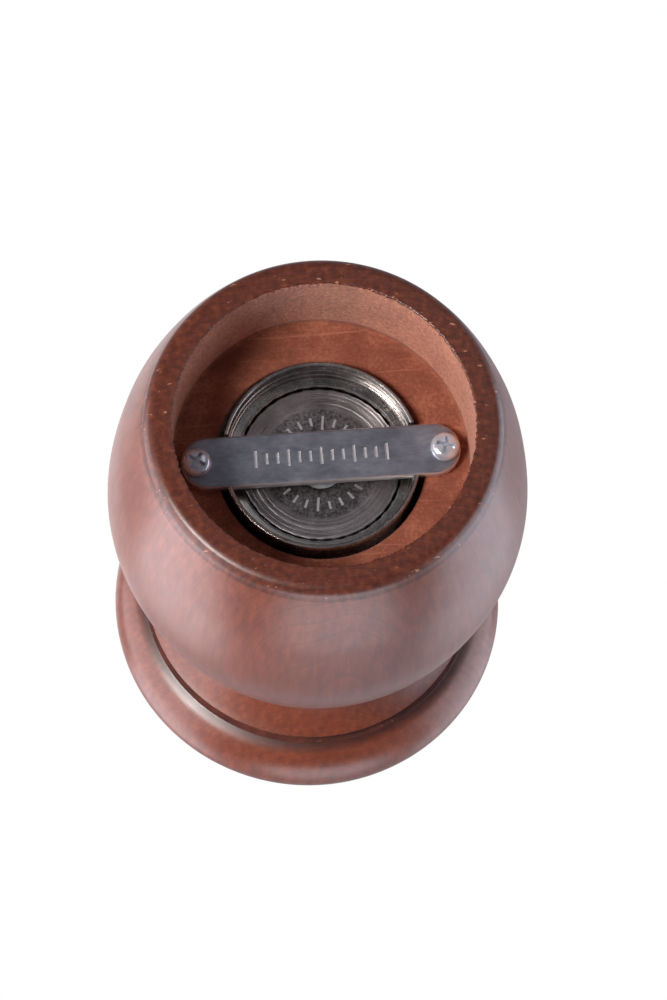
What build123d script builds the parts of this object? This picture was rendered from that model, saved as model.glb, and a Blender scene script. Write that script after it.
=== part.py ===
"""A short turned-wood pepper mill with a steel burr set.

Millimetres, +Z up, origin at the centre of the foot ring's standing face, mill axis along Z.
The retaining bar under the burrs lies along X.
"""

import os
from math import cos, pi, radians, sin

from build123d import *

# ---------------------------------------------------------------- driving dimensions
# Wooden body
RECESS_R = 20.4  # grinding recess in the foot
RECESS_DEPTH = 13.5
FOOT_FLAT_R = 22.9  # outer edge of the flat standing ring
FOOT_EDGE_R = 24.4  # where the foot's rounding meets the side
FOOT_EDGE_Z = 1.7
HIP_R = 28.25
HIP_Z = 16.0
BELLY_R = 29.35
BELLY_Z = 26.5
SHOULDER_R = 26.2
SHOULDER_Z = 44.0
NECK_R = 19.6
NECK_Z = 57.2
FLARE_R = 21.2
FLARE_Z = 61.8
COLLAR_R = 24.3
COLLAR_ROUND = 0.9
BODY_TOP = 65.5
CHAMBER_R = 12.8  # peppercorn chamber
MOUTH_R = 15.2  # counterbore that takes the head's tenon
MOUTH_DEPTH = 6.6
BURR_SEAT_R = 14.45  # counterbore that takes the burr set
EDGE_BREAK = 0.5  # chamfer on the bored edges

# Wooden head
HEAD_GAP = 0.3  # running gap between body and head
TENON_R = 14.85
TENON_LENGTH = 6.1
RING_R = 28.85
RING_Z = 72.7
RING_STEP_R = 25.3  # foot of the step between the ring and the dome
RING_STEP_Z = 78.7
DOME_R = 24.6
DOME_Z = 79.6
CROWN_R = 9.6  # flat on top, under the finial
HEAD_TOP = 97.2
HEAD_BORE_R = 4.6

# Burr set
STATOR_R = 13.65
STATOR_LIP = 1.75  # how far the stator's lip stands below the recess floor
STATOR_TOP = 28.0
STATOR_FLANGE_H = 3.0  # wider top that fills the seat
STATOR_LEDGE_R = 12.15  # step round the teeth, seen from below
STATOR_MOUTH_R = 12.75
STATOR_BEVEL_R = 13.25
STATOR_STEP_H = 0.35
STATOR_BLANK_R = 8.0  # bore left for the teeth to be cut from
BRIDGE_T = 1.2
BURR_FACE_Z = 15.3  # the rotor's underside
BURR_FACE_R = 11.05
BURR_GAP = 0.3
FINE_TOP = 18.4  # top of the fine teeth
FINE_TAPER = 0.25  # radius lost per millimetre of height
FINE_TEETH = 36
COARSE_TEETH = 7
ROTOR_TOP = 23.5
HUB_R = 6.6
TOOTH_DEPTH = 0.42
COARSE_DEPTH = 0.9
COARSE_WAIST_R = 10.8
FUNNEL_R = 11.3  # where peppercorns enter the burrs
HUB_H = 0.7

# Shaft, spring and bush
SHAFT_SIDE = 6.0
SHAFT_CHAMFER = 0.6
SHAFT_FIT = 0.1  # clearance on each flat in a sliding square hole
SQUARE_TOP = 90.0
THREAD_R = 2.5
THREAD_PITCH = 0.8
SHAFT_TOP = 105.5
SPIGOT_R = 2.0
SPIGOT_TOP = 18.0
DIMPLE_R = 3.6
DIMPLE_DEPTH = 1.0
WASHER_T = 0.5
SPRING_R = 5.6
SPRING_WIRE = 0.7
SPRING_TURNS = 3
BUSH_R = 4.6
BUSH_HOLE_R = 4.66
BUSH_FLANGE_R = 5.6
BRIDGE_RING_R = 6.6
FLANGE_T = 1.0
FLANGE_GAP = 0.1
BRIDGE_WIDTH = 5.0
RIVET_R = 2.8
RIVET_FLAT_R = 1.4
RIVET_H = 0.42
PRESS_GAP = 0.02  # clearance between pieces that are fixed together

# Retaining bar and its screws
BAR_LENGTH = 38.4
BAR_WIDTH = 7.4
BAR_T = 1.4
BAR_SCREW_X = 17.05
BAR_SCREW_HEAD_R = 2.05
BAR_SCREW_HEAD_H = 1.25
BAR_SCREW_LENGTH = 9.0
WOOD_THREAD_R = 1.1
WOOD_THREAD_PITCH = 0.9
THREAD_DEPTH = 0.3
SCREW_POINT = 1.2  # how far a pilot hole runs past the screw's thread
CROSS_LENGTH = 2.3
CROSS_WIDTH = 0.5

# Drive plate under the head's tenon
PLATE_SIDE = 18.0
PLATE_T = 1.2
PLATE_SCREW_XY = 6.6
PLATE_SCREW_LENGTH = 6.0
PLATE_SCREW_HEAD_R = 1.75
PLATE_SCREW_HEAD_H = 0.8
PLATE_CROSS_LENGTH = 1.9
PLATE_CROSS_WIDTH = 0.45
PLATE_CORNER_R = 2.2

# Finial
FINIAL_WASHER_R = 8.0
FINIAL_WASHER_T = 0.8
KNOB_BALL_R = 7.4
KNOB_HEIGHT = 15.5
KNOB_BORE_R = 2.58
KNOB_FOOT_R = 6.4
KNOB_NECK_R = 5.3
WASHER_BORE_R = 2.85

# ---------------------------------------------------------------- worked-out heights
BAR_TOP = RECESS_DEPTH
BAR_BOTTOM = BAR_TOP - BAR_T
LIP_Z = RECESS_DEPTH - STATOR_LIP
BRIDGE_TOP = STATOR_TOP + BRIDGE_T
HEAD_BOTTOM = BODY_TOP + HEAD_GAP
TENON_BOTTOM = HEAD_BOTTOM - TENON_LENGTH
PLATE_BOTTOM = TENON_BOTTOM - PLATE_T
FINIAL_Z = HEAD_TOP + FINIAL_WASHER_T
KNOB_TOP = FINIAL_Z + KNOB_HEIGHT


def ring_of_teeth(count, tip_r, root_r, phase=0.0):
    """Corners of a star of pointed teeth, in order round the axis."""
    corners = []
    for i in range(count):
        for r, turn in ((tip_r, 0.0), (root_r, 0.5)):
            a = 2 * pi * (i + turn) / count + radians(phase)
            corners.append((r * cos(a), r * sin(a)))
    return corners


def ridged_rod(r, depth, pitch, z_start, z_end):
    """Outline points (r, z) of a screw thread drawn as ridges, from z_start to z_end."""
    count = int(abs(z_end - z_start) / pitch)
    step = (z_end - z_start) / count
    points = []
    for i in range(count):
        points.append((r - depth, z_start + i * step))
        points.append((r, z_start + (i + 0.5) * step))
    points.append((r - depth, z_end))
    return points


def export(piece, name):
    piece.part.label = name
    export_step(piece.part, f"parts/{name}.step")


os.makedirs("parts", exist_ok=True)

# ---------------------------------------------------------------- wooden body
mouth_floor = BODY_TOP - MOUTH_DEPTH
foot_edge = (FOOT_EDGE_R, FOOT_EDGE_Z)

with BuildPart() as wooden_body:
    with BuildSketch(Plane.XZ):
        with BuildLine():
            Polyline((RECESS_R, RECESS_DEPTH), (RECESS_R, 0), (FOOT_FLAT_R, 0))
            ThreePointArc((FOOT_FLAT_R, 0), (24.0, 0.5), foot_edge)
            Spline(
                foot_edge,
                (HIP_R, HIP_Z),
                (BELLY_R, BELLY_Z),
                (SHOULDER_R, SHOULDER_Z),
                (NECK_R, NECK_Z),
                tangents=[(0.42, 1.0), (0.0, 1.0)],
            )
            ThreePointArc((NECK_R, NECK_Z), (FLARE_R, FLARE_Z), (COLLAR_R, BODY_TOP - COLLAR_ROUND))
            ThreePointArc(
                (COLLAR_R, BODY_TOP - COLLAR_ROUND),
                (COLLAR_R - 0.2 * COLLAR_ROUND, BODY_TOP - 0.3 * COLLAR_ROUND),
                (COLLAR_R - COLLAR_ROUND, BODY_TOP),
            )
            Polyline(
                (COLLAR_R - COLLAR_ROUND, BODY_TOP),
                (MOUTH_R + EDGE_BREAK, BODY_TOP),
                (MOUTH_R, BODY_TOP - EDGE_BREAK),
                (MOUTH_R, mouth_floor),
                (CHAMBER_R + EDGE_BREAK, mouth_floor),
                (CHAMBER_R, mouth_floor - EDGE_BREAK),
                (CHAMBER_R, BRIDGE_TOP),
                (BURR_SEAT_R, BRIDGE_TOP),
                (BURR_SEAT_R, RECESS_DEPTH),
                (RECESS_R, RECESS_DEPTH),
            )
        make_face()
    revolve(axis=Axis.Z)
    with BuildSketch(Plane.XY.offset(RECESS_DEPTH)):
        with Locations((-BAR_SCREW_X, 0), (BAR_SCREW_X, 0)):
            Circle(WOOD_THREAD_R + PRESS_GAP)
    extrude(amount=BAR_SCREW_LENGTH, mode=Mode.SUBTRACT)
export(wooden_body, "wooden_body")

# ---------------------------------------------------------------- wooden head
with BuildPart() as wooden_head:
    with BuildSketch(Plane.XZ):
        with BuildLine():
            Polyline(
                (HEAD_BORE_R, HEAD_TOP),
                (HEAD_BORE_R, TENON_BOTTOM),
                (TENON_R - EDGE_BREAK, TENON_BOTTOM),
                (TENON_R, TENON_BOTTOM + EDGE_BREAK),
                (TENON_R, HEAD_BOTTOM),
                (COLLAR_R - COLLAR_ROUND, HEAD_BOTTOM),
            )
            Spline(
                (COLLAR_R - COLLAR_ROUND, HEAD_BOTTOM),
                (24.6, 66.4),
                (27.5, 69.1),
                (RING_R, RING_Z),
                (27.7, 76.6),
                (RING_STEP_R, RING_STEP_Z),
                tangents=[(1.0, 0.1), (-1.0, 0.25)],
            )
            ThreePointArc((RING_STEP_R, RING_STEP_Z), (24.75, 79.0), (DOME_R, DOME_Z))
            Spline(
                (DOME_R, DOME_Z),
                (22.5, 86.8),
                (17.0, 93.0),
                (CROWN_R, HEAD_TOP),
                tangents=[(0.0, 1.0), (-1.0, 0.3)],
            )
            Line((CROWN_R, HEAD_TOP), (HEAD_BORE_R, HEAD_TOP))
        make_face()
    revolve(axis=Axis.Z)
    with BuildSketch(Plane.XY.offset(TENON_BOTTOM)):
        with GridLocations(2 * PLATE_SCREW_XY, 2 * PLATE_SCREW_XY, 2, 2):
            Circle(WOOD_THREAD_R + PRESS_GAP)
    extrude(amount=PLATE_SCREW_LENGTH, mode=Mode.SUBTRACT)
export(wooden_head, "wooden_head")

# ---------------------------------------------------------------- stator burr
fine_gap_r = BURR_FACE_R + BURR_GAP
fine_top_r = fine_gap_r - FINE_TAPER * (FINE_TOP - BURR_FACE_Z)
flange_r = BURR_SEAT_R - 0.1
flange_z = STATOR_TOP - STATOR_FLANGE_H
ledge_z = BURR_FACE_Z - STATOR_STEP_H

with BuildPart() as stator_burr:
    with BuildSketch(Plane.XZ):
        with BuildLine():
            Polyline(
                (STATOR_BEVEL_R, LIP_Z),
                (STATOR_R, LIP_Z),
                (STATOR_R, flange_z - EDGE_BREAK),
                (flange_r, flange_z),
                (flange_r, STATOR_TOP),
                (STATOR_BLANK_R, STATOR_TOP),
                (STATOR_BLANK_R, BURR_FACE_Z),
                (STATOR_LEDGE_R, BURR_FACE_Z),
                (STATOR_LEDGE_R, ledge_z),
                (STATOR_MOUTH_R, ledge_z),
                (STATOR_BEVEL_R, LIP_Z),
            )
        make_face()
    revolve(axis=Axis.Z)
    for z, r, phase in ((BURR_FACE_Z - 0.01, fine_gap_r, 0), (FINE_TOP, fine_top_r, -6)):
        with BuildSketch(Plane.XY.offset(z)):
            Polygon(*ring_of_teeth(FINE_TEETH, r + TOOTH_DEPTH, r, phase), align=None)
    loft(ruled=True, mode=Mode.SUBTRACT)
    for z, r, phase in (
        (FINE_TOP, fine_top_r, 0),
        (STATOR_TOP - 4, COARSE_WAIST_R, 14),
        (STATOR_TOP, FUNNEL_R, 24),
    ):
        with BuildSketch(Plane.XY.offset(z)):
            Polygon(*ring_of_teeth(4 * COARSE_TEETH, r + COARSE_DEPTH, r, phase), align=None)
    loft(ruled=True, mode=Mode.SUBTRACT)
    with BuildSketch(Plane.XY.offset(LIP_Z)):
        Rectangle(3 * STATOR_R, BAR_WIDTH + 0.3)
    extrude(amount=STATOR_LIP, mode=Mode.SUBTRACT)
export(stator_burr, "stator_burr")

# ---------------------------------------------------------------- rotor burr
rotor_fine_top_r = BURR_FACE_R - FINE_TAPER * (FINE_TOP - BURR_FACE_Z)
coarse_sections = (
    (FINE_TOP, 10.1, 8.2, 0),
    (FINE_TOP + 1.6, 9.3, 7.2, 12),
    (FINE_TOP + 3.2, 8.3, 6.4, 24),
    (ROTOR_TOP - HUB_H, 7.4, 6.0, 34),
)

with BuildPart() as rotor_burr:
    for z, r, phase in ((BURR_FACE_Z, BURR_FACE_R, 0), (FINE_TOP, rotor_fine_top_r, 7)):
        with BuildSketch(Plane.XY.offset(z)):
            Polygon(*ring_of_teeth(FINE_TEETH, r, r - TOOTH_DEPTH, phase), align=None)
    loft(ruled=True)
    for z, tip, root, phase in coarse_sections:
        with BuildSketch(Plane.XY.offset(z)):
            Polygon(*ring_of_teeth(COARSE_TEETH, tip, root, phase), align=None)
    loft(ruled=True)
    with BuildSketch(Plane.XY.offset(ROTOR_TOP - HUB_H)):
        Circle(HUB_R)
    extrude(amount=HUB_H)
    with BuildSketch(Plane.XY.offset(BURR_FACE_Z)):
        Circle(DIMPLE_R)
    extrude(amount=DIMPLE_DEPTH, mode=Mode.SUBTRACT)
    with BuildSketch(Plane.XY.offset(BURR_FACE_Z)):
        Circle(SPIGOT_R + PRESS_GAP)
    extrude(amount=SPIGOT_TOP - BURR_FACE_Z, mode=Mode.SUBTRACT)
    with BuildSketch(Plane.XY.offset(SPIGOT_TOP)) as socket:
        Rectangle(SHAFT_SIDE + 2 * PRESS_GAP, SHAFT_SIDE + 2 * PRESS_GAP)
        chamfer(socket.vertices(), SHAFT_CHAMFER - 0.05)
    extrude(amount=ROTOR_TOP - SPIGOT_TOP, mode=Mode.SUBTRACT)
export(rotor_burr, "rotor_burr")

# ---------------------------------------------------------------- drive shaft
rivet_z = BURR_FACE_Z + DIMPLE_DEPTH - WASHER_T  # underside of the washer that the rivet closes on

with BuildPart() as drive_shaft:
    with BuildSketch(Plane.XY.offset(SPIGOT_TOP)) as bar_section:
        Rectangle(SHAFT_SIDE, SHAFT_SIDE)
        chamfer(bar_section.vertices(), SHAFT_CHAMFER)
    extrude(amount=SQUARE_TOP - SPIGOT_TOP)
    with BuildSketch(Plane.XZ):
        with BuildLine():
            Polyline((0, SPIGOT_TOP), (SPIGOT_R, SPIGOT_TOP), (SPIGOT_R, rivet_z), (RIVET_R, rivet_z))
            ThreePointArc((RIVET_R, rivet_z), (2.2, rivet_z - 0.3), (RIVET_FLAT_R, rivet_z - RIVET_H))
            Polyline((RIVET_FLAT_R, rivet_z - RIVET_H), (0, rivet_z - RIVET_H), (0, SPIGOT_TOP))
        make_face()
    revolve(axis=Axis.Z)
    with BuildSketch(Plane.XZ):
        with BuildLine():
            Polyline(
                (0, SQUARE_TOP),
                *ridged_rod(THREAD_R, THREAD_DEPTH, THREAD_PITCH, SQUARE_TOP, SHAFT_TOP - 0.4),
                (THREAD_R - 0.7, SHAFT_TOP),
                (0, SHAFT_TOP),
                (0, SQUARE_TOP),
            )
        make_face()
    revolve(axis=Axis.Z)
export(drive_shaft, "drive_shaft")

# ---------------------------------------------------------------- rivet washer in the rotor's face
with BuildPart() as rivet_washer:
    with BuildSketch(Plane.XY.offset(rivet_z)):
        Circle(DIMPLE_R - 0.15)
        Circle(SPIGOT_R + PRESS_GAP, mode=Mode.SUBTRACT)
    extrude(amount=WASHER_T)
export(rivet_washer, "rivet_washer")

# ---------------------------------------------------------------- spring washer on the rotor's hub
with BuildPart() as spring_washer:
    with BuildSketch(Plane.XY.offset(ROTOR_TOP)) as washer_section:
        Circle(HUB_R)
        Rectangle(SHAFT_SIDE + 2 * PRESS_GAP, SHAFT_SIDE + 2 * PRESS_GAP, mode=Mode.SUBTRACT)
    extrude(amount=WASHER_T)
export(spring_washer, "spring_washer")

# ---------------------------------------------------------------- burr spring
spring_z = ROTOR_TOP + WASHER_T + SPRING_WIRE / 2 + PRESS_GAP
spring_rise = STATOR_TOP - SPRING_WIRE / 2 - PRESS_GAP - spring_z

with BuildPart() as burr_spring:
    with BuildLine():
        coil = Helix(
            pitch=spring_rise / SPRING_TURNS,
            height=spring_rise,
            radius=SPRING_R,
            center=(0, 0, spring_z),
        )
    with BuildSketch(Plane(origin=coil @ 0, z_dir=coil % 0)):
        Circle(SPRING_WIRE / 2)
    sweep(path=coil, is_frenet=True)
export(burr_spring, "burr_spring")

# ---------------------------------------------------------------- guide bridge over the stator
with BuildPart() as guide_bridge:
    with BuildSketch(Plane.XY.offset(STATOR_TOP)) as bridge_section:
        Circle(flange_r)
        Rectangle(3 * BURR_SEAT_R, BRIDGE_WIDTH, mode=Mode.INTERSECT)
        Circle(BRIDGE_RING_R)
        Circle(BUSH_HOLE_R, mode=Mode.SUBTRACT)
    extrude(amount=BRIDGE_T)
export(guide_bridge, "guide_bridge")

# ---------------------------------------------------------------- shaft bush, turning in the bridge
with BuildPart() as shaft_bush:
    with BuildSketch(Plane.XY.offset(STATOR_TOP)):
        Circle(BUSH_R)
    extrude(amount=BRIDGE_T)
    with BuildSketch(Plane.XY.offset(BRIDGE_TOP)):
        Circle(BUSH_R)
    extrude(amount=FLANGE_GAP)
    with BuildSketch(Plane.XY.offset(BRIDGE_TOP + FLANGE_GAP)):
        Circle(BUSH_FLANGE_R)
    extrude(amount=FLANGE_T)
    with BuildSketch(Plane.XY.offset(STATOR_TOP)) as bush_square:
        Rectangle(SHAFT_SIDE + 2 * SHAFT_FIT, SHAFT_SIDE + 2 * SHAFT_FIT)
        chamfer(bush_square.vertices(), SHAFT_CHAMFER)
    extrude(amount=BRIDGE_T + FLANGE_GAP + FLANGE_T, mode=Mode.SUBTRACT)
export(shaft_bush, "shaft_bush")

# ---------------------------------------------------------------- retaining bar
with BuildPart() as retaining_bar:
    with BuildSketch(Plane.XY.offset(BAR_BOTTOM)):
        SlotOverall(BAR_LENGTH, BAR_WIDTH)
        with Locations((-BAR_SCREW_X, 0), (BAR_SCREW_X, 0)):
            Circle(WOOD_THREAD_R + 0.15, mode=Mode.SUBTRACT)
    extrude(amount=BAR_T)
    outer_rim = retaining_bar.faces().sort_by(Axis.Z)[0].outer_wire().edges()
    fillet(outer_rim, 0.25)
export(retaining_bar, "retaining_bar")

# ---------------------------------------------------------------- bar screws: cross-recessed pan heads
for side, x in (("left", -BAR_SCREW_X), ("right", BAR_SCREW_X)):
    head_top = BAR_BOTTOM - BAR_SCREW_HEAD_H
    screw_tip = RECESS_DEPTH + BAR_SCREW_LENGTH - SCREW_POINT
    with BuildPart() as bar_screw:
        with BuildSketch(Plane(origin=(x, 0, 0), x_dir=(1, 0, 0), z_dir=(0, -1, 0))):
            with BuildLine():
                Polyline(
                    (0, head_top),
                    (0, screw_tip + 1.0),
                    *reversed(
                        ridged_rod(
                            WOOD_THREAD_R,
                            THREAD_DEPTH,
                            WOOD_THREAD_PITCH,
                            BAR_BOTTOM + THREAD_DEPTH,
                            screw_tip,
                        )
                    ),
                    (WOOD_THREAD_R - THREAD_DEPTH, BAR_BOTTOM),
                    (BAR_SCREW_HEAD_R, BAR_BOTTOM),
                    (BAR_SCREW_HEAD_R, BAR_BOTTOM - 0.45),
                )
                ThreePointArc(
                    (BAR_SCREW_HEAD_R, BAR_BOTTOM - 0.45),
                    (0.87 * BAR_SCREW_HEAD_R, BAR_BOTTOM - 0.82 * BAR_SCREW_HEAD_H),
                    (0.55 * BAR_SCREW_HEAD_R, head_top),
                )
                Line((0.55 * BAR_SCREW_HEAD_R, head_top), (0, head_top))
            make_face()
        revolve(axis=Axis((x, 0, 0), (0, 0, 1)))
        with BuildSketch(Plane((x, 0, head_top))):
            Rectangle(CROSS_LENGTH, CROSS_WIDTH)
            Rectangle(CROSS_WIDTH, CROSS_LENGTH)
        extrude(amount=0.8, taper=8, mode=Mode.SUBTRACT)
    export(bar_screw, f"bar_screw_{side}")

# ---------------------------------------------------------------- drive plate under the head
with BuildPart() as drive_plate:
    with BuildSketch(Plane.XY.offset(PLATE_BOTTOM)) as plate_section:
        RectangleRounded(PLATE_SIDE, PLATE_SIDE, PLATE_CORNER_R)
        Rectangle(SHAFT_SIDE + 2 * SHAFT_FIT, SHAFT_SIDE + 2 * SHAFT_FIT, mode=Mode.SUBTRACT)
        with GridLocations(2 * PLATE_SCREW_XY, 2 * PLATE_SCREW_XY, 2, 2):
            Circle(WOOD_THREAD_R + 0.1, mode=Mode.SUBTRACT)
    extrude(amount=PLATE_T)
export(drive_plate, "drive_plate")

# ---------------------------------------------------------------- drive plate screws
plate_head_z = PLATE_BOTTOM - PLATE_SCREW_HEAD_H
plate_corners = [(sx * PLATE_SCREW_XY, sy * PLATE_SCREW_XY) for sx in (-1, 1) for sy in (-1, 1)]
for number, (x, y) in enumerate(plate_corners, start=1):
    screw_tip = TENON_BOTTOM + PLATE_SCREW_LENGTH - SCREW_POINT
    with BuildPart() as plate_screw:
        with BuildSketch(Plane(origin=(x, y, 0), x_dir=(1, 0, 0), z_dir=(0, -1, 0))):
            with BuildLine():
                Polyline(
                    (0, plate_head_z),
                    (0, screw_tip + 1.0),
                    *reversed(
                        ridged_rod(
                            WOOD_THREAD_R,
                            THREAD_DEPTH,
                            WOOD_THREAD_PITCH,
                            PLATE_BOTTOM + THREAD_DEPTH,
                            screw_tip,
                        )
                    ),
                    (WOOD_THREAD_R - THREAD_DEPTH, PLATE_BOTTOM),
                    (PLATE_SCREW_HEAD_R, PLATE_BOTTOM),
                )
                ThreePointArc(
                    (PLATE_SCREW_HEAD_R, PLATE_BOTTOM),
                    (1.5, PLATE_BOTTOM - 0.7 * PLATE_SCREW_HEAD_H),
                    (1.0, plate_head_z),
                )
                Line((1.0, plate_head_z), (0, plate_head_z))
            make_face()
        revolve(axis=Axis((x, y, 0), (0, 0, 1)))
        with BuildSketch(Plane((x, y, plate_head_z))):
            Rectangle(PLATE_CROSS_LENGTH, PLATE_CROSS_WIDTH)
            Rectangle(PLATE_CROSS_WIDTH, PLATE_CROSS_LENGTH)
        extrude(amount=0.5, taper=8, mode=Mode.SUBTRACT)
    export(plate_screw, f"plate_screw_{number}")

# ---------------------------------------------------------------- finial washer
with BuildPart() as finial_washer:
    with BuildSketch(Plane.XZ):
        with BuildLine():
            Polyline(
                (WASHER_BORE_R, HEAD_TOP),
                (FINIAL_WASHER_R, HEAD_TOP),
                (FINIAL_WASHER_R, HEAD_TOP + 0.3),
                (FINIAL_WASHER_R - 0.5, FINIAL_Z),
                (WASHER_BORE_R, FINIAL_Z),
                (WASHER_BORE_R, HEAD_TOP),
            )
        make_face()
    revolve(axis=Axis.Z)
export(finial_washer, "finial_washer")

# ---------------------------------------------------------------- finial knob, threaded on the shaft
ball_z = KNOB_TOP - KNOB_BALL_R
bore_top = SHAFT_TOP + 1.4

with BuildPart() as finial_knob:
    with BuildSketch(Plane.XZ):
        with BuildLine():
            Polyline((0, ball_z), (0, FINIAL_Z), (KNOB_FOOT_R, FINIAL_Z), (KNOB_FOOT_R, FINIAL_Z + 1.0))
            ThreePointArc((KNOB_FOOT_R, FINIAL_Z + 1.0), (4.9, FINIAL_Z + 1.9), (KNOB_NECK_R, ball_z - 5.0))
            Polyline((KNOB_NECK_R, ball_z - 5.0), (KNOB_NECK_R, ball_z), (0, ball_z))
        make_face()
    revolve(axis=Axis.Z)
    with Locations((0, 0, ball_z)):
        Sphere(KNOB_BALL_R)
    with BuildSketch(Plane.XZ):
        with BuildLine():
            Polyline(
                (0, FINIAL_Z),
                (KNOB_BORE_R, FINIAL_Z),
                (KNOB_BORE_R, bore_top),
                (0, bore_top + 0.8),
                (0, FINIAL_Z),
            )
        make_face()
    revolve(axis=Axis.Z, mode=Mode.SUBTRACT)
export(finial_knob, "finial_knob")
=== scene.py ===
"""The looks of a short turned-wood pepper mill, seen from below so that its burr set faces the camera."""

import math

import bmesh
import bpy
from mathutils import Matrix, Quaternion, Vector, noise


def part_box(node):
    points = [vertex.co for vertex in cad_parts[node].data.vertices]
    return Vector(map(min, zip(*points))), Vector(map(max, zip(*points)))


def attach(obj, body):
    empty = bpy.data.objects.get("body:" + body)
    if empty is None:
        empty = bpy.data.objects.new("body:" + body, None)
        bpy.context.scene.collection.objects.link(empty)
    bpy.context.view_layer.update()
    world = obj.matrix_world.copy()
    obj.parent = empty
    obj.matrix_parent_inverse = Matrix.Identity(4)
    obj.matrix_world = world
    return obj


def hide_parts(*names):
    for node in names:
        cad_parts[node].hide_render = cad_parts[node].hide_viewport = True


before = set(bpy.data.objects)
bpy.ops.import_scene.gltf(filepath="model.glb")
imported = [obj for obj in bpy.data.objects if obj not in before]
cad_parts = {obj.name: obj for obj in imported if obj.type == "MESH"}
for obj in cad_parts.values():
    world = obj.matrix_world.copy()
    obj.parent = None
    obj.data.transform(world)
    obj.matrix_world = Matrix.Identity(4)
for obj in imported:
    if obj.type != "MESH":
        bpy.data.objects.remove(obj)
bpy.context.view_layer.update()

MM = 0.001  # every size below is in millimetres until it reaches a mesh

# Camera: it looks at AIM from DISTANCE, in millimetres, with angles in degrees
AIM = Vector((-2.3, -0.4, 29.0))
DISTANCE = 562.4
AZIMUTH = 10.63
ELEVATION = -69.54
ROLL = -173.77
LENS = 144.0
SENSOR = 36.0

# Sizes read from the frame, in millimetres
HEAD_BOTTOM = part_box("wooden_head")[0].z / MM
STATOR_LOW, STATOR_HIGH = (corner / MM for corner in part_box("stator_burr"))
ROTOR_LOW, ROTOR_HIGH = (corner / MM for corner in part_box("rotor_burr"))
BAR_LOW, BAR_HIGH = (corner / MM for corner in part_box("retaining_bar"))

# Sizes that the frame does not state
BODY_TOP = 65.5
HEAD_GAP = 0.3
HEAD_JOINT = BODY_TOP + HEAD_GAP  # the head's underside
HEAD_TOP = 97.2
HEAD_BORE_R = 4.6
TENON_R = 14.85
RECESS_R = 20.4
RECESS_DEPTH = 13.5
SEAM_R = 22.8  # inside this the body and the head are bare where they meet
STATOR_R = 13.65
STATOR_FLANGE_R = 14.35
TEETH = 36  # fine teeth on the stator and on the rotor
BLADES = 7  # coarse blades on the rotor
FINE_TOP = 18.4  # where the fine teeth end
COARSE_TOP = 24.5
MARK_DEPTH = 0.10  # how far the rotor's raised marks stand out
STROKE_DEPTH = 0.26  # how deep the bar's strokes are stamped


# ---------------------------------------------------------------- node helpers
COLOUR_A, COLOUR_B = 6, 7  # a Mix node's two colour sockets


class Tree:
    """A material's node tree, with short calls that add and link nodes."""

    def __init__(self, name):
        self.material = bpy.data.materials.new(name)
        self.material.use_nodes = True
        self.tree = self.material.node_tree
        self.shader = self.tree.nodes["Principled BSDF"]
        self.place = self.add("ShaderNodeTexCoord").outputs["Object"]

    def add(self, kind, **settings):
        node = self.tree.nodes.new(kind)
        for key, value in settings.items():
            setattr(node, key, value)
        return node

    def link(self, source, target):
        self.tree.links.new(source, target)

    def feed(self, socket, value):
        if isinstance(value, bpy.types.NodeSocket):
            self.link(value, socket)
        else:
            socket.default_value = value

    def math(self, operation, a, b=0.0, clamp=False):
        node = self.add("ShaderNodeMath", operation=operation, use_clamp=clamp)
        for socket, value in zip(node.inputs, (a, b)):
            self.feed(socket, value)
        return node.outputs[0]

    def stretch(self, scale, source=None):
        node = self.add("ShaderNodeVectorMath", operation="MULTIPLY")
        self.feed(node.inputs[0], source or self.place)
        node.inputs[1].default_value = scale
        return node.outputs[0]

    def split(self, source=None):
        node = self.add("ShaderNodeSeparateXYZ")
        self.link(source or self.place, node.inputs[0])
        return node.outputs

    def noise(self, scale, stretch=(1, 1, 1), detail=3.0, rough=0.55, source=None):
        """Noise in 0..1; scale counts features per millimetre."""
        node = self.add("ShaderNodeTexNoise")
        self.link(self.stretch(stretch, source), node.inputs["Vector"])
        node.inputs["Scale"].default_value = scale / MM
        node.inputs["Detail"].default_value = detail
        node.inputs["Roughness"].default_value = rough
        return node.outputs["Fac"]

    def distance(self, a, b):
        """Length of the flat vector (a, b)."""
        squares = self.math("ADD", self.math("MULTIPLY", a, a), self.math("MULTIPLY", b, b))
        return self.math("SQRT", squares)

    def ramp(self, value, stops):
        """A colour ramp; each stop is a position and a grey level or a colour."""
        node = self.add("ShaderNodeValToRGB")
        ramp = node.color_ramp
        while len(ramp.elements) < len(stops):
            ramp.elements.new(0.5)
        for element, (position, colour) in zip(ramp.elements, stops):
            element.position = position
            element.color = (colour, colour, colour, 1.0) if isinstance(colour, float) else colour
        self.link(value, node.inputs[0])
        return node.outputs["Color"]

    def grey(self, value, low, high, out_low=0.0, out_high=1.0):
        """Maps low..high to out_low..out_high."""
        node = self.add("ShaderNodeMapRange")
        self.link(value, node.inputs["Value"])
        for key, number in (
            ("From Min", low),
            ("From Max", high),
            ("To Min", out_low),
            ("To Max", out_high),
        ):
            node.inputs[key].default_value = number
        return node.outputs[0]

    def mix(self, factor, a, b, blend="MIX"):
        node = self.add("ShaderNodeMix", data_type="RGBA", blend_type=blend)
        self.feed(node.inputs[0], factor)
        self.feed(node.inputs[COLOUR_A], a)
        self.feed(node.inputs[COLOUR_B], b)
        return node.outputs[2]

    def bump(self, height, strength, distance, base=None):
        node = self.add("ShaderNodeBump")
        node.inputs["Strength"].default_value = strength
        node.inputs["Distance"].default_value = distance * MM
        self.link(height, node.inputs["Height"])
        if base is not None:
            self.link(base, node.inputs["Normal"])
        return node.outputs[0]

    def finish(self, **sockets):
        for key, value in sockets.items():
            self.feed(self.shader.inputs[key.replace("_", " ")], value)
        return self.material


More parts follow.
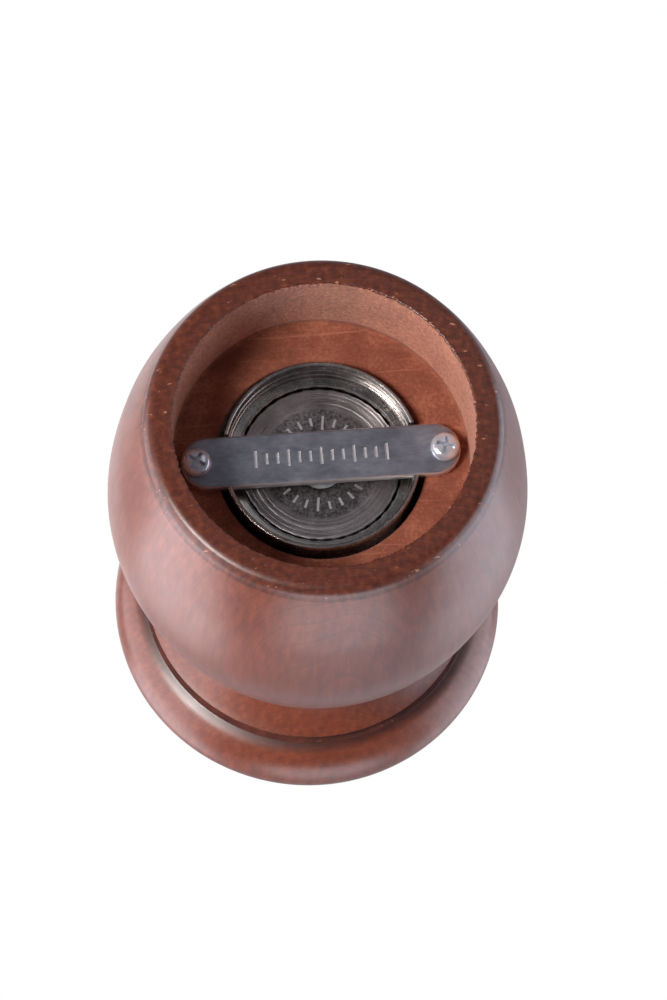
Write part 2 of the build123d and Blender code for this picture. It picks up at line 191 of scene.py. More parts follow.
def srgb(r, g, b):
    """A colour given in display values from 0 to 255, as linear light."""
    def linear(c):
        c = c / 255
        return c / 12.92 if c <= 0.04045 else ((c + 0.055) / 1.055) ** 2.4
    return (linear(r), linear(g), linear(b), 1.0)


# ---------------------------------------------------------------- materials
PITH = (3.0, -62.0)  # where the tree's centre stood, beside the mill's axis
RING_SPACING = 1.15
RING_WANDER = 7.0
RAY_REACH = 60.0  # distance from the pith at which the rays have their stated scale
PALE_NICK = srgb(208, 152, 118)
PALE_PORE = srgb(205, 150, 110)
RAW_PORE = srgb(214, 160, 128)
SEAM_STAIN_SHADE_Z = HEAD_JOINT + 0.45  # stain pools on the head's underside just above the gap, and the gap's shade is painted there too
SEAM_STAIN_SHADE_WIDTH = 1.0
BARE_METAL = srgb(240, 238, 240)
CAST_BLEND = 0.3  # how far each side of its radius the cast surface fades


def wood_figure(t):
    """Growth rings, rays and pores through the solid wood. Returns ring, fibre, ray and pore, each 0..1."""
    x, y, z = t.split()
    slow = t.noise(0.035, (1, 1, 0.12), detail=2.0)
    wander = t.math("MULTIPLY", t.math("SUBTRACT", slow, 0.5), RING_WANDER * MM)
    dx = t.math("SUBTRACT", x, PITH[0] * MM)
    dy = t.math("SUBTRACT", y, PITH[1] * MM)
    reach = t.math("ADD", t.distance(dx, dy), wander)
    ring = t.math("FRACT", t.math("MULTIPLY", reach, 1 / (RING_SPACING * MM)))
    angle = t.math("ARCTAN2", dx, dy)
    spoke = t.add("ShaderNodeCombineXYZ")
    t.link(t.math("MULTIPLY", angle, RAY_REACH * MM), spoke.inputs[0])
    t.link(t.math("MULTIPLY", reach, 0.12), spoke.inputs[1])
    t.link(t.math("MULTIPLY", z, 0.10), spoke.inputs[2])
    ray = t.noise(0.8, detail=2.0, source=spoke.outputs[0])
    fibre = t.noise(1.1, (1, 1, 0.06), detail=3.0, rough=0.55)
    pore = t.noise(3.4, (1, 1, 0.10), detail=1.0)
    return ring, fibre, ray, pore


def groove_stain_and_shade(t, colour, height, width):
    """Darkens the wood in a band at this height: partly stain pooled in the groove, partly painted shade of
    the gap between head and body.
    """
    away = t.math("ABSOLUTE", t.math("SUBTRACT", t.split()[2], height * MM))
    # the darkest stops are painted shade of the gap as well as stain
    stops = [(0.0, (0.16, 0.10, 0.08, 1.0)), (0.5, (0.36, 0.27, 0.24, 1.0)), (1.0, 1.0)]
    pooled_stain_and_shade = t.ramp(t.grey(away, 0.0, width * MM), stops)
    return t.mix(1.0, colour, pooled_stain_and_shade, "MULTIPLY")


def lacquered_wood(name, dark, middle, light, rings=0.45, coat=0.6, nicks=0.0):
    """Stained wood under satin lacquer. rings and nicks set how far its growth rings and its nicks show."""
    t = Tree(name)
    ring, fibre, ray, pore = wood_figure(t)
    colour = t.ramp(fibre, [(0.28, dark), (0.5, middle), (0.74, light)])
    late = t.ramp(ring, [(0.0, 0.62), (0.16, 1.0), (0.8, 1.0), (0.93, 1.22), (1.0, 0.62)])
    colour = t.mix(rings, colour, late, "MULTIPLY")
    glow = t.ramp(ray, [(0.58, 0.0), (0.74, 1.0)])
    colour = t.mix(t.math("MULTIPLY", glow, 0.35), colour, light)
    speck = t.ramp(pore, [(0.74, 0.0), (0.82, 1.0)])
    colour = t.mix(t.math("MULTIPLY", speck, 0.22), colour, PALE_PORE)
    if nicks:
        nick = t.ramp(t.noise(1.5, (0.45, 1, 0.6), detail=2.0), [(0.68, 0.0), (0.73, 1.0)])
        colour = t.mix(t.math("MULTIPLY", nick, nicks), colour, PALE_NICK)
    cloud = t.noise(0.07, (1, 1, 0.5), detail=2.0)
    colour = t.mix(0.5, colour, t.ramp(cloud, [(0.3, 0.80), (0.7, 1.08)]), "MULTIPLY")
    # painted shade: a darker band by the seam between head and body, partly pooled stain
    colour = groove_stain_and_shade(t, colour, SEAM_STAIN_SHADE_Z, SEAM_STAIN_SHADE_WIDTH)
    grain = t.bump(fibre, 0.10, 0.05)
    grain = t.bump(t.noise(0.35, (1, 1, 0.6), detail=2.0), 0.08, 0.15, grain)
    rough = t.grey(t.noise(0.5, (1, 1, 0.3)), 0.3, 0.7, 0.36, 0.44)
    return t.finish(
        Base_Color=colour,
        Roughness=rough,
        Normal=grain,
        Specular_IOR_Level=0.5,
        Coat_Weight=coat,
        Coat_Roughness=0.32,
        Coat_IOR=1.5,
    )


def raw_wood(name, dark, middle, light, fuzz, scratches):
    """Turned wood without lacquer. fuzz turns broad blotches into fine nap, scratches sets its pale lines."""
    t = Tree(name)
    ring, fibre, ray, pore = wood_figure(t)
    nap = t.noise(2.2, detail=5.0, rough=0.75)
    blotch = t.noise(0.22, detail=3.0)
    mixed = t.math("ADD", t.math("MULTIPLY", nap, fuzz), t.math("MULTIPLY", blotch, 1.0 - fuzz))
    colour = t.ramp(mixed, [(0.32, dark), (0.5, middle), (0.68, light)])
    late = t.ramp(ring, [(0.0, 0.8), (0.15, 1.0), (0.85, 1.0), (1.0, 0.8)])
    colour = t.mix(0.35, colour, late, "MULTIPLY")
    line = t.noise(1.6, (0.05, 1, 1), detail=2.0)
    pale = t.ramp(line, [(0.64, 0.0), (0.72, 1.0)])
    colour = t.mix(t.math("MULTIPLY", pale, scratches), colour, light)
    speck = t.ramp(pore, [(0.74, 0.0), (0.80, 1.0)])
    colour = t.mix(t.math("MULTIPLY", speck, 0.35), colour, RAW_PORE)
    return t.finish(
        Base_Color=colour,
        Roughness=0.82,
        Normal=t.bump(nap, 0.5, 0.12),
        Specular_IOR_Level=0.25,
        Sheen_Weight=0.25,
        Sheen_Roughness=0.5,
    )


def metal(
    name,
    colour,
    rough,
    grain=(1, 1, 1),
    scale=3.0,
    depth=0.01,
    spread=0.10,
    stain=0.25,
    turned=0.0,
    bright=None,
    dull_inside=None,
    metallic=1.0,
):
    """Metal with faint working marks.

    grain stretches the marks, scale counts them per millimetre, depth is their height and spread is how far
    they vary the roughness. stain darkens it in clouds. turned is the spacing of its lathe lines. bright is a
    pair of heights between which pressed or raised metal grows lighter. Inside dull_inside it is as cast.
    """
    t = Tree(name)
    marks = t.noise(scale, grain, detail=4.0, rough=0.65)
    cloud = t.noise(0.25, detail=3.0)
    tone = t.mix(1.0, colour, t.ramp(cloud, [(0.3, 1.0 - stain), (0.7, 1.0)]), "MULTIPLY")
    tone = t.mix(0.5, tone, t.ramp(marks, [(0.25, 0.6), (0.75, 1.3)]), "MULTIPLY")
    x, y, z = t.split()
    radius = t.distance(x, y)
    height = marks
    if dull_inside:
        cast = t.grey(radius, (dull_inside + CAST_BLEND) * MM, (dull_inside - CAST_BLEND) * MM)
        spots = t.ramp(t.noise(2.6, detail=4.0, rough=0.7), [(0.35, 0.22), (0.62, 0.85)])
        tone = t.mix(cast, tone, t.mix(1.0, tone, spots, "MULTIPLY"))
    if bright:
        pressed = t.grey(z, bright[0] * MM, bright[1] * MM)
        tone = t.mix(t.math("MULTIPLY", pressed, 0.9, clamp=True), tone, BARE_METAL)
    if turned:
        lines = t.math("SINE", t.math("MULTIPLY", radius, 2 * math.pi / (turned * MM)))
        height = t.math("ADD", marks, t.math("MULTIPLY", lines, 0.35))
    return t.finish(
        Base_Color=tone,
        Metallic=metallic,
        Roughness=t.grey(marks, 0.25, 0.75, rough - spread / 2, rough + spread / 2),
        Normal=t.bump(height, 0.6, depth),
    )


WOOD = lacquered_wood("stained_lacquered_wood", srgb(102, 44, 24), srgb(116, 52, 28), srgb(132, 64, 37))
END_GRAIN = lacquered_wood(
    "stained_end_grain",
    srgb(70, 27, 14),
    srgb(92, 39, 21),
    srgb(118, 57, 34),
    rings=0.85,
    coat=0.45,
    nicks=0.55,
)
WALL = raw_wood("raw_recess_wall", srgb(126, 70, 50), srgb(184, 116, 88), srgb(226, 160, 124), 0.8, 0.1)
FLOOR = raw_wood("raw_recess_floor", srgb(112, 60, 43), srgb(140, 79, 59), srgb(178, 112, 86), 0.5, 0.6)
# painted shade: this dark wood at the seam is partly stain in the groove, partly the shade of the gap between
# body and head
GROOVE_STAIN_AND_SHADE = raw_wood("groove_stain_and_painted_shade", srgb(56, 22, 14), srgb(76, 32, 20), srgb(96, 44, 29), 0.3, 0.0)
BARE = raw_wood("bare_chamber_wood", srgb(120, 72, 48), srgb(150, 98, 68), srgb(176, 122, 88), 0.4, 0.2)
BURR = metal(
    "blackened_burr_steel",
    srgb(186, 181, 177),
    0.25,
    scale=1.2,
    depth=0.003,
    stain=0.45,
    turned=0.30,
)
CAST = metal(
    "cast_rotor_steel",
    srgb(182, 176, 178),
    0.40,
    scale=3.4,
    depth=0.08,
    stain=0.5,
    bright=(ROTOR_LOW.z - 0.04, ROTOR_LOW.z - 0.08),
    dull_inside=8.1,
)
BAR = metal(
    "satin_bar_steel",
    srgb(158, 161, 174),
    0.38,
    grain=(0.3, 1, 1),
    scale=2.2,
    depth=0.006,
    spread=0.14,
    stain=0.42,
    metallic=0.78,
    bright=(BAR_LOW.z + 0.04, BAR_LOW.z + 0.14),
)
ZINC = metal("zinc_plated_steel", srgb(228, 233, 244), 0.22, scale=1.0, depth=0.004, stain=0.12, metallic=0.6)
SPRING = metal("spring_wire", srgb(150, 150, 152), 0.3, scale=2.0, depth=0.008)
NICKEL = metal("polished_nickel", srgb(216, 214, 210), 0.14, scale=1.2, depth=0.002, spread=0.04, stain=0.08)


# ---------------------------------------------------------------- mesh helpers
def arc(centre, radius, start, end, steps):
    """Points on an arc in the (r, z) plane, angles in degrees."""
    points = []
    for i in range(steps + 1):
        a = math.radians(start + (end - start) * i / steps)
        points.append((centre[0] + radius * math.cos(a), centre[1] + radius * math.sin(a)))
    return points


def curve_through(points, steps, first=None, last=None):
    """A smooth Hermite curve through points of (r, z). first and last are end directions."""
    count = len(points)
    slopes = []
    for i in range(count):
        before = points[max(i - 1, 0)]
        after = points[min(i + 1, count - 1)]
        span = 2.0 if 0 < i < count - 1 else 1.0
        slopes.append(((after[0] - before[0]) / span, (after[1] - before[1]) / span))
    for index, direction in ((0, first), (count - 1, last)):
        if direction:
            size = math.hypot(*slopes[index]) / math.hypot(*direction)
            slopes[index] = (direction[0] * size, direction[1] * size)
    out = []
    for i in range(count - 1):
        for step in range(steps):
            u = step / steps
            h = (2 * u**3 - 3 * u**2 + 1, u**3 - 2 * u**2 + u, -2 * u**3 + 3 * u**2, u**3 - u**2)
            out.append(
                tuple(
                    h[0] * points[i][k]
                    + h[1] * slopes[i][k]
                    + h[2] * points[i + 1][k]
                    + h[3] * slopes[i + 1][k]
                    for k in (0, 1)
                )
            )
    out.append(points[-1])
    return out


def finish_mesh(name, bm, body, replaced, sharp):
    """Makes the mesh a piece that rides on a body and stands for a node. sharp is in degrees."""
    bmesh.ops.remove_doubles(bm, verts=bm.verts, dist=1e-7)
    bmesh.ops.recalc_face_normals(bm, faces=bm.faces)
    mesh = bpy.data.meshes.new(name)
    bm.to_mesh(mesh)
    bm.free()
    piece = bpy.data.objects.new(name, mesh)
    bpy.context.scene.collection.objects.link(piece)
    mesh.polygons.foreach_set("use_smooth", [True] * len(mesh.polygons))
    mesh.set_sharp_from_angle(angle=math.radians(sharp))
    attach(piece, body)
    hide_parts(replaced)
    return piece


def dress(piece, material, sharp=None):
    """Gives a piece one material, and after a cut its sharp edges again."""
    if sharp:
        piece.data.set_sharp_from_angle(angle=math.radians(sharp))
    piece.data.materials.clear()
    piece.data.materials.append(material)


def lathe(outline, segments, shift=None, closed=True):
    """Turns an outline of (r, z, material index) round Z. shift(r, z, angle) moves a point outwards."""
    bm = bmesh.new()
    rings = []
    for r, z, _ in outline:
        ring = []
        for k in range(segments if r > 1e-6 else 1):
            a = 2 * math.pi * k / segments
            out = r + (shift(r, z, a) if shift else 0.0)
            ring.append(bm.verts.new((out * math.cos(a) * MM, out * math.sin(a) * MM, z * MM)))
        rings.append(ring)
    pairs = list(zip(rings, rings[1:]))
    indices = [point[2] for point in outline[:-1]]
    if closed:
        pairs.append((rings[-1], rings[0]))
        indices.append(outline[-1][2])
    for (a, b), index in zip(pairs, indices):
        for k in range(segments):
            n = (k + 1) % segments
            corners = [a[k % len(a)], a[n % len(a)], b[n % len(b)], b[k % len(b)]]
            unique = list(dict.fromkeys(corners))
            if len(unique) > 2:
                face = bm.faces.new(unique)
                face.material_index = index
    return bm


def paint(points, index):
    """Adds a material index to points of (r, z). A stretch takes the index of the point where it starts."""
    return [(r, z, index) for r, z in points]


def tooth(a):
    """A trapezoid wave round the axis: 0 on a tooth's crest, 1 in the groove beside it."""
    u = (a * TEETH / (2 * math.pi)) % 1.0
    crest, flank = 0.35, 0.3
    return min(1.0, max(0.0, (abs(u - 0.5) * 2 - crest) / flank))


def cut(piece, cutter):
    """Takes the cutter's shape out of a piece, then removes the cutter."""
    modifier = piece.modifiers.new("cut", "BOOLEAN")
    modifier.operation = "DIFFERENCE"
    modifier.solver = "EXACT"
    modifier.object = cutter
    graph = bpy.context.evaluated_depsgraph_get()
    mesh = bpy.data.meshes.new_from_object(piece.evaluated_get(graph))
    piece.modifiers.clear()
    piece.data = mesh
    bpy.data.objects.remove(cutter)


def cutter_from(name, bm):
    mesh = bpy.data.meshes.new(name)
    bm.to_mesh(mesh)
    bm.free()
    piece = bpy.data.objects.new(name, mesh)
    bpy.context.scene.collection.objects.link(piece)
    return piece


def block(name, low, high):
    """A box between two corners, to cut with."""
    bm = bmesh.new()
    bmesh.ops.create_cube(bm, size=1.0)
    for vertex in bm.verts:
        vertex.co = Vector([(low[i] + (high[i] - low[i]) * (vertex.co[i] + 0.5)) * MM for i in range(3)])
    return cutter_from(name, bm)


def close_box(bm, corners):
    """Faces round eight corners, given as two rings of four."""
    for ring in ((0, 1, 2, 3), (4, 7, 6, 5), (0, 4, 5, 1), (1, 5, 6, 2), (2, 6, 7, 3), (3, 7, 4, 0)):
        bm.faces.new([corners[i] for i in ring])


# ---------------------------------------------------------------- wooden body
def make_body():
    """The turned body: from its foot up the outside, down the chamber and back along the recess."""
    wood, wall, floor, bare, end_grain, stained_shaded_groove = range(6)
    mouth_round = 0.25
    corner_round = 0.4
    outline = paint(arc((RECESS_R + mouth_round, mouth_round), mouth_round, 180, 270, 4), end_grain)
    outline += paint([(21.2, 0.0), (22.0, 0.0)], end_grain)
    foot = [(22.6, 0.0), (23.5, 0.22), (24.1, 0.85), (24.4, 1.7)]
    outline += paint(curve_through(foot, 5, (1, 0), (0.42, 1.0)), end_grain)
    side = [(24.4, 1.7), (26.75, 8.8), (28.3, 16.0), (29.36, 26.5)]
    side += [(28.4, 35.5), (26.2, 44.0), (22.6, 52.5), (19.6, 57.2)]
    outline += paint(curve_through(side, 12, (0.42, 1.0), (-0.1, 1.0)), wood)[1:]
    flare = [(19.6, 57.2), (19.75, 59.6), (21.2, 61.9), (24.2, 64.3)]
    outline += paint(curve_through(flare, 8, (0.0, 1.0), (0.9, 0.5)), wood)[1:]
    # the collar's edge at the seam is painted dark: stain, and painted shade of the gap under the head
    outline += paint([(24.1, 64.95), (23.6, 65.3)], stained_shaded_groove)
    outline += paint([(SEAM_R, BODY_TOP), (15.7, BODY_TOP), (15.2, 65.0), (15.2, 58.9)], bare)
    outline += paint([(13.3, 58.9), (12.8, 58.4), (12.8, 29.2)], bare)
    outline += paint([(14.45, 29.2), (14.45, RECESS_DEPTH + 0.2)], floor)
    outline += paint([(14.65, RECESS_DEPTH), (17.0, RECESS_DEPTH), (19.4, RECESS_DEPTH)], floor)
    corner = (RECESS_R - corner_round, RECESS_DEPTH - corner_round)
    outline += paint(arc(corner, corner_round, 90, 0, 3), floor)
    steps = 26
    rise = RECESS_DEPTH - 0.9
    outline += paint([(RECESS_R, corner[1] - rise * (i + 1) / steps) for i in range(steps)], wall)
    torn_height = 2.6

    def torn_fibres(r, z, a):
        """Torn fibres along the mouth of the recess, fading up its wall."""
        if abs(r - RECESS_R) < 0.3 and z < torn_height:
            torn = noise.noise(Vector((r * math.cos(a) * 2.6, r * math.sin(a) * 2.6, z * 1.4)))
            fine = noise.noise(Vector((r * math.cos(a) * 6.0, r * math.sin(a) * 6.0, z * 3.0)))
            return (0.17 * torn + 0.13 * fine) * max(0.0, 1.0 - z / torn_height)
        return 0.0

    bm = lathe(outline, 720, torn_fibres)
    piece = finish_mesh("turned_body", bm, "mill_body", "wooden_body", 40.0)
    for material in (WOOD, WALL, FLOOR, BARE, END_GRAIN, GROOVE_STAIN_AND_SHADE):
        piece.data.materials.append(material)


def make_head():
    """The turned head, from its bore down round the tenon and up the outside."""
    wood, bare, stained_shaded_groove = range(3)
    chamfer = 0.5
    outline = paint([(HEAD_BORE_R, HEAD_TOP), (HEAD_BORE_R, HEAD_BOTTOM)], bare)
    outline += paint([(TENON_R - chamfer, HEAD_BOTTOM), (TENON_R, HEAD_BOTTOM + chamfer)], bare)
    outline += paint([(TENON_R, HEAD_JOINT)], bare)
    # the head's underside at the seam is painted dark: stain, and painted shade of the gap above the body
    outline += paint([(SEAM_R, HEAD_JOINT), (23.7, HEAD_JOINT + 0.25)], stained_shaded_groove)
    rim = [(24.5, 66.6), (26.4, 67.5), (28.0, 69.4), (28.85, 72.4), (28.5, 75.0), (27.2, 77.4), (25.3, 78.7)]
    outline += paint(curve_through(rim, 9, (1.0, 0.35), (-1.0, 0.2)), wood)
    outline += paint([(24.85, 78.95), (24.62, 79.35)], wood)
    dome = [(24.6, 79.9), (23.9, 83.6), (21.6, 88.4), (17.6, 92.6), (13.2, 95.5), (9.6, HEAD_TOP)]
    outline += paint(curve_through(dome, 8, (0.0, 1.0), (-1.0, 0.35)), wood)
    bm = lathe(outline, 360)
    piece = finish_mesh("turned_head", bm, "head", "wooden_head", 40.0)
    for material in (WOOD, BARE, GROOVE_STAIN_AND_SHADE):
        piece.data.materials.append(material)


# ---------------------------------------------------------------- burr set
def make_stator():
    """The fixed ring: a rounded lip, steps in to the fine teeth, and a notch across it for the bar."""
    lip = STATOR_LOW.z
    top = STATOR_HIGH.z
    ledge = ROTOR_LOW.z - 0.2
    outline = [(13.0, lip + 0.35), (13.12, lip + 0.1), (13.25, lip), (13.5, lip), (13.62, lip + 0.06)]
    outline += [(STATOR_R, lip + 0.2), (STATOR_R, COARSE_TOP)]
    outline += [(STATOR_FLANGE_R, 25.0), (STATOR_FLANGE_R, top)]
    outline += [(11.4, top), (10.9, 24.0), (10.65, FINE_TOP), (11.25, ledge + 0.35)]
    outline += [(11.27, ledge + 0.08), (11.36, ledge), (11.62, ledge)]
    outline += [(11.66, ledge - 0.10), (11.90, ledge - 0.12)]
    outline += [(11.94, ledge - 0.22), (12.18, ledge - 0.24), (12.22, ledge - 0.36), (12.50, ledge - 0.40)]
    outline += [(12.56, ledge - 0.58), (12.66, 14.1), (12.8, 14.0), (12.84, 13.05), (12.96, 12.95)]

    def teeth(r, z, a):
        """Shallow teeth where the ring shows round the rotor, deeper ones above."""
        if r < 11.4 and z < ledge + 0.5:
            return 0.08 * tooth(a)
        if r < 11.2 and z < COARSE_TOP:
            return 0.16 * tooth(a + 0.04)
        return 0.0

    sharp = 25.0
    bm = lathe(paint(outline, 0), TEETH * 16, teeth)
    piece = finish_mesh("stator_ring", bm, "mill_body", "stator_burr", sharp)
    half = (BAR_HIGH.y - BAR_LOW.y) / 2 + 0.15
    cut(piece, block("notch", (-20, -half, lip - 1), (20, half, BAR_HIGH.z)))
    dress(piece, BURR, sharp)


RINGS = ((8.45, 0.07), (8.82, 0.04), (9.08, 0.08), (9.60, 0.03), (9.82, 0.06), (10.22, 0.04), (10.46, 0.07))
MARKS = 24


def make_rotor():
    """The turning burr: a dimple, a face with turned rings and raised marks, fine teeth and coarse blades."""
    face = ROTOR_LOW.z
    top = ROTOR_HIGH.z
    hub_r, bore_r, spigot_bore_r = 6.6, 3.2, 2.1  # round, though the shaft in it is square
    shoulder = 18.0  # where the shaft's square steps in to its spigot
    blade_foot = FINE_TOP + 0.1
    outline = [(spigot_bore_r, shoulder), (spigot_bore_r, face + 1.0)]
    outline += [(3.45, face + 1.0), (3.6, face + 0.85)]
    outline += [(3.65, face + 0.12), (3.85, face), (4.2, face - 0.02), (8.3, face)]
    for r, deep in RINGS:
        outline += [(r, face), (r + 0.06, face + deep), (r + 0.13, face + deep), (r + 0.19, face)]
    outline += [(10.92, face), (11.02, face + 0.05), (11.04, face + 0.4)]
    outline += [(10.27, FINE_TOP), (9.0, blade_foot)]
    outline += [(7.2, 22.6), (hub_r, 22.8), (hub_r, top), (bore_r, top), (bore_r, shoulder)]

    def teeth(r, z, a):
        """Fine teeth round the face's edge and coarse blades above them."""
        if r > 10.9:
            return -0.07 * tooth(a + 0.02)
        if r > 8.9 and z > FINE_TOP + 0.05:
            return 0.9 * math.cos(BLADES * (a - 0.15 * (z - blade_foot)))
        return 0.0

    bm = lathe(paint(outline, 0), TEETH * 12, teeth)
    for i in range(MARKS):
        inner, outer = (5.0, 7.0) if i % 6 == 0 else (5.6, 6.8)
        add_mark(bm, 2 * math.pi * (i + 0.5) / MARKS, inner, outer, 0.16, face - MARK_DEPTH, face + 0.05)
    piece = finish_mesh("rotor_face", bm, "shaft", "rotor_burr", 30.0)
    piece.data.materials.append(CAST)


def add_mark(bm, angle, inner, outer, half, low, high):
    """A raised radial mark with sloping sides, standing down from a face."""
    turn = Matrix.Rotation(angle, 3, "Z")
    corners = []
    for z, grow in ((high, 0.08), (low, 0.0)):
        near, far, side = inner - grow, outer + grow, half + grow
        for r, w in ((near, -side), (far, -side), (far, side), (near, side)):
            corners.append(bm.verts.new(turn @ Vector((r * MM, w * MM, z * MM))))
    close_box(bm, corners)


def slot_outline(length, width, steps=40):
    """Corners of a bar with full round ends, counter-clockwise."""
    half = width / 2
    reach = length / 2 - half
    points = []
    for centre, start in ((reach, -90), (-reach, 90)):
        for i in range(steps + 1):
            a = math.radians(start + 180 * i / steps)
            points.append((centre + half * math.cos(a), half * math.sin(a)))
    return points


def make_bar():
    """The retaining bar: a stamped strip with soft edges and a row of short stamped strokes."""
    length = BAR_HIGH.x - BAR_LOW.x
    width = BAR_HIGH.y - BAR_LOW.y
    low, high = BAR_LOW.z, BAR_HIGH.z
    bevel = 0.38
    bevel_steps = 6
    layers = []
    for i in range(bevel_steps + 1):
        a = math.radians(90 * i / bevel_steps)
        layers.append((bevel * (1 - math.sin(a)), low + bevel * (1 - math.cos(a))))
    layers.append((0.0, high - 0.15))
    layers.append((0.1, high))
    bm = bmesh.new()
    loops = []
    for inset, z in layers:
        points = slot_outline(length - 2 * inset, width - 2 * inset)
        loops.append([bm.verts.new((x * MM, y * MM, z * MM)) for x, y in points])
    for a, b in zip(loops, loops[1:]):
        for k in range(len(a)):
            n = (k + 1) % len(a)
            bm.faces.new((a[k], a[n], b[n], b[k]))
    bm.faces.new(list(reversed(loops[0])))
    bm.faces.new(loops[-1])
    sharp = 40.0
    piece = finish_mesh("retaining_strip", bm, "mill_body", "retaining_bar", sharp)
    strokes, pitch, half = 13, 1.5, 0.24
    for i in range(strokes):
        x = (i - strokes // 2) * pitch
        tall = 1.25 if i % 3 == 0 else 0.8
        cut(piece, block("stroke", (x - half, -tall, low - 0.5), (x + half, tall, low + STROKE_DEPTH)))
    dress(piece, BAR, sharp)


def make_screw(node, name):
    """A pan-head screw with a cross recess, standing where its node stands."""
    low, high = (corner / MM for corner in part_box(node))
    middle = (low + high) / 2
    head_r = (high.x - low.x) / 2
    seat = BAR_LOW.z
    head_low = low.z
    outline = [(0.0, head_low), (0.9, head_low + 0.015), (1.35, head_low + 0.09)]
    outline += [(1.7, head_low + 0.26), (1.93, head_low + 0.52), (head_r, seat - 0.38)]
    outline += [(head_r - 0.02, seat - 0.05), (head_r - 0.1, seat), (0.85, seat), (0.85, seat + 0.3)]
    turns, root_r, crest_r = 10, 0.8, 1.08
    thread_low = seat + 0.4
    pitch = (high.z - seat - 1.5) / turns
    for i in range(turns):
        z = thread_low + i * pitch
        outline += [(root_r, z), (crest_r, z + pitch / 2)]
    outline += [(root_r, thread_low + turns * pitch), (0.0, high.z)]
    sharp = 45.0
    bm = lathe(paint(outline, 0), 96, closed=False)
    piece = finish_mesh(name, bm, "mill_body", node, sharp)
    arm, arm_half = 1.42, 0.272
    for reach in ((arm, arm_half), (arm_half, arm)):
        cut(piece, cross_arm(reach, head_low - 0.2, head_low + 0.95))
    turn = Matrix.Rotation(math.radians(35 if middle.x > 0 else 20), 4, "Z")
    piece.data.transform(Matrix.Translation((middle.x * MM, middle.y * MM, 0)) @ turn)
    dress(piece, ZINC, sharp)


def cross_arm(reach, mouth_z, bottom_z):
    """One arm of a cross recess, to cut with. reach is half its sizes, and the long one narrows inwards."""
    narrow = 0.7
    bm = bmesh.new()
    corners = []
    for z, k in ((mouth_z, 1.0), (bottom_z, narrow)):
        x, y = (size * (k if size == max(reach) else 1.0) for size in reach)
        for sx, sy in ((-1, -1), (1, -1), (1, 1), (-1, 1)):
            corners.append(bm.verts.new((sx * x * MM, sy * y * MM, z * MM)))
    close_box(bm, corners)
    bmesh.ops.recalc_face_normals(bm, faces=bm.faces)
    return cutter_from("cross", bm)


make_body()
make_head()
make_stator()
make_rotor()
make_bar()
make_screw("bar_screw_left", "left_pan_screw")
make_screw("bar_screw_right", "right_pan_screw")

# ---------------------------------------------------------------- carried-over nodes
CARRIED = {
    ZINC: ("drive_shaft", "rivet_washer", "spring_washer", "guide_bridge", "shaft_bush", "drive_plate")
    + tuple(f"plate_screw_{i}" for i in (1, 2, 3, 4)),
    SPRING: ("burr_spring",),
    NICKEL: ("finial_washer", "finial_knob"),
}
for material, names in CARRIED.items():
    for name in names:
        dress(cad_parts[name], material)


# ---------------------------------------------------------------- floor, light and camera
def make_floor():
    """A pale floor that is seen from above only, so that the foot can be looked at from below.

    It glows and hardly takes light, because the edges of the lamps' light would show on it.
    """
    bpy.ops.mesh.primitive_circle_add(vertices=96, radius=1.6, fill_type="NGON", location=(0, 0, -0.0002))
    floor = bpy.context.object
    floor.name = "floor"
    t = Tree("pale_floor")
    t.finish(
        Base_Color=(0.04, 0.04, 0.04, 1.0),
        Roughness=0.9,
        Specular_IOR_Level=0.0,
        Emission_Color=(0.98, 0.98, 1.0, 1.0),
        Emission_Strength=0.90,
    )
    clear = t.add("ShaderNodeBsdfTransparent")
    side = t.add("ShaderNodeNewGeometry")
    mixer = t.add("ShaderNodeMixShader")
    t.link(side.outputs["Backfacing"], mixer.inputs[0])
    t.link(t.shader.outputs[0], mixer.inputs[1])
    t.link(clear.outputs[0], mixer.inputs[2])
    t.link(mixer.outputs[0], t.tree.nodes["Material Output"].inputs["Surface"])
    floor.data.materials.append(t.material)
    floor.visible_shadow = False
    floor.visible_diffuse = False
    floor.visible_glossy = False
    floor.visible_transmission = False


def make_world():
    """A studio that is bright behind the mill and dim on the camera's side, seen by the camera as white."""
    world = bpy.data.worlds.new("studio")
    bpy.context.scene.world = world
    world.use_nodes = True
    nodes = world.node_tree.nodes
    links = world.node_tree.links
    nodes.clear()
    out = nodes.new("ShaderNodeOutputWorld")
    light = nodes.new("ShaderNodeBackground")
    seen = nodes.new("ShaderNodeBackground")
    path = nodes.new("ShaderNodeLightPath")
    mixer = nodes.new("ShaderNodeMixShader")
    direction = nodes.new("ShaderNodeTexCoord")
    parts = nodes.new("ShaderNodeSeparateXYZ")
    links.new(direction.outputs["Generated"], parts.inputs[0])

    def spread(axis, low, high):
        """A value that goes from low to high across the sky along an axis."""
        node = nodes.new("ShaderNodeMapRange")
        node.inputs["From Min"].default_value = -1.0
        node.inputs["To Min"].default_value = low
        node.inputs["To Max"].default_value = high
        links.new(parts.outputs[axis], node.inputs["Value"])
        return node.outputs[0]

    def times(a, b):
        node = nodes.new("ShaderNodeMath")
        node.operation = "MULTIPLY"
        links.new(a, node.inputs[0])
        links.new(b, node.inputs[1])
        return node.outputs[0]

    x, y, z = range(3)
    strength = times(times(spread(z, 0.08, 0.46), spread(x, 1.5, 0.9)), spread(y, 0.7, 1.0))
    tint = nodes.new("ShaderNodeMix")
    tint.data_type = "RGBA"
    tint.inputs[COLOUR_A].default_value = (0.80, 0.86, 1.0, 1.0)
    tint.inputs[COLOUR_B].default_value = (0.94, 0.92, 1.0, 1.0)
    links.new(spread(x, 0.0, 1.0), tint.inputs[0])
    links.new(tint.outputs[2], light.inputs[0])
    links.new(strength, light.inputs[1])
    seen.inputs[0].default_value = (1.0, 1.0, 1.0, 1.0)
    seen.inputs[1].default_value = 1.0
    links.new(path.outputs["Is Camera Ray"], mixer.inputs[0])
    links.new(light.outputs[0], mixer.inputs[1])
    links.new(seen.outputs[0], mixer.inputs[2])
    links.new(mixer.outputs[0], out.inputs[0])


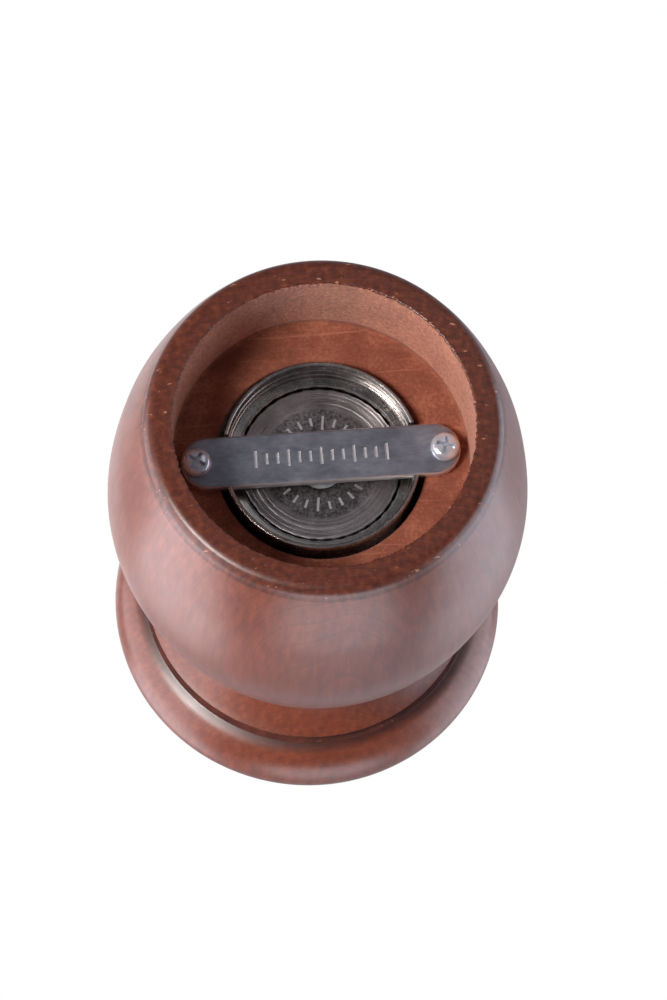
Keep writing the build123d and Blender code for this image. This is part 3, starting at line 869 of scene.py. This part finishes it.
def soft_light(name, place, target, size, power, colour):
    """A rectangular lamp that faces a target; places and sizes in metres."""
    data = bpy.data.lights.new(name, "AREA")
    data.shape = "RECTANGLE"
    data.size, data.size_y = size
    data.energy = power
    data.color = colour
    lamp = bpy.data.objects.new(name, data)
    bpy.context.scene.collection.objects.link(lamp)
    lamp.location = place
    lamp.rotation_euler = (Vector(target) - Vector(place)).to_track_quat("-Z", "Y").to_euler()
    lamp.visible_camera = False


def make_camera():
    """A camera below the mill, looking up into its foot."""
    data = bpy.data.cameras.new("camera")
    data.lens = LENS
    data.sensor_width = SENSOR
    data.clip_start = 0.01
    camera = bpy.data.objects.new("camera", data)
    bpy.context.scene.collection.objects.link(camera)
    a = math.radians(AZIMUTH)
    e = math.radians(ELEVATION)
    back = Vector((math.sin(a) * math.cos(e), -math.cos(a) * math.cos(e), math.sin(e)))
    camera.location = (AIM + back * DISTANCE) * MM
    turn = back.to_track_quat("Z", "Y") @ Quaternion((0, 0, 1), math.radians(ROLL))
    camera.rotation_mode = "QUATERNION"
    camera.rotation_quaternion = turn
    bpy.context.scene.camera = camera


bpy.context.scene.view_settings.view_transform = "Standard"
make_floor()
make_world()
soft_light("key", (0.42, -0.16, -0.54), (0, 0, 0.01), (0.22, 0.22), 5.0, (1.0, 0.96, 0.93))
soft_light("left_box", (0.30, -0.04, 0.03), (0, -0.02, 0.04), (0.40, 0.36), 1.35, (0.94, 0.92, 1.0))
soft_light("right_box", (-0.30, -0.04, 0.03), (0, -0.02, 0.04), (0.40, 0.36), 1.0, (0.82, 0.88, 1.0))
soft_light("over", (0.15, 0.35, 0.55), (0, 0, 0.08), (0.5, 0.5), 0.5, (1.0, 0.99, 0.97))
soft_light("front_fill", (-0.12, 0.19, -0.38), (0, 0, 0.01), (0.12, 0.12), 0.04, (0.93, 0.95, 1.0))
soft_light("low_back", (-0.02, -0.42, 0.24), (0, 0, 0.03), (0.36, 0.30), 0.72, (0.88, 0.92, 1.0))
soft_light("left_back", (0.31, -0.12, 0.32), (0, 0, 0.04), (0.26, 0.26), 0.50, (0.92, 0.93, 1.0))
soft_light("right_back", (-0.31, -0.10, 0.32), (0, 0, 0.04), (0.26, 0.26), 0.24, (0.82, 0.88, 1.0))
make_camera()
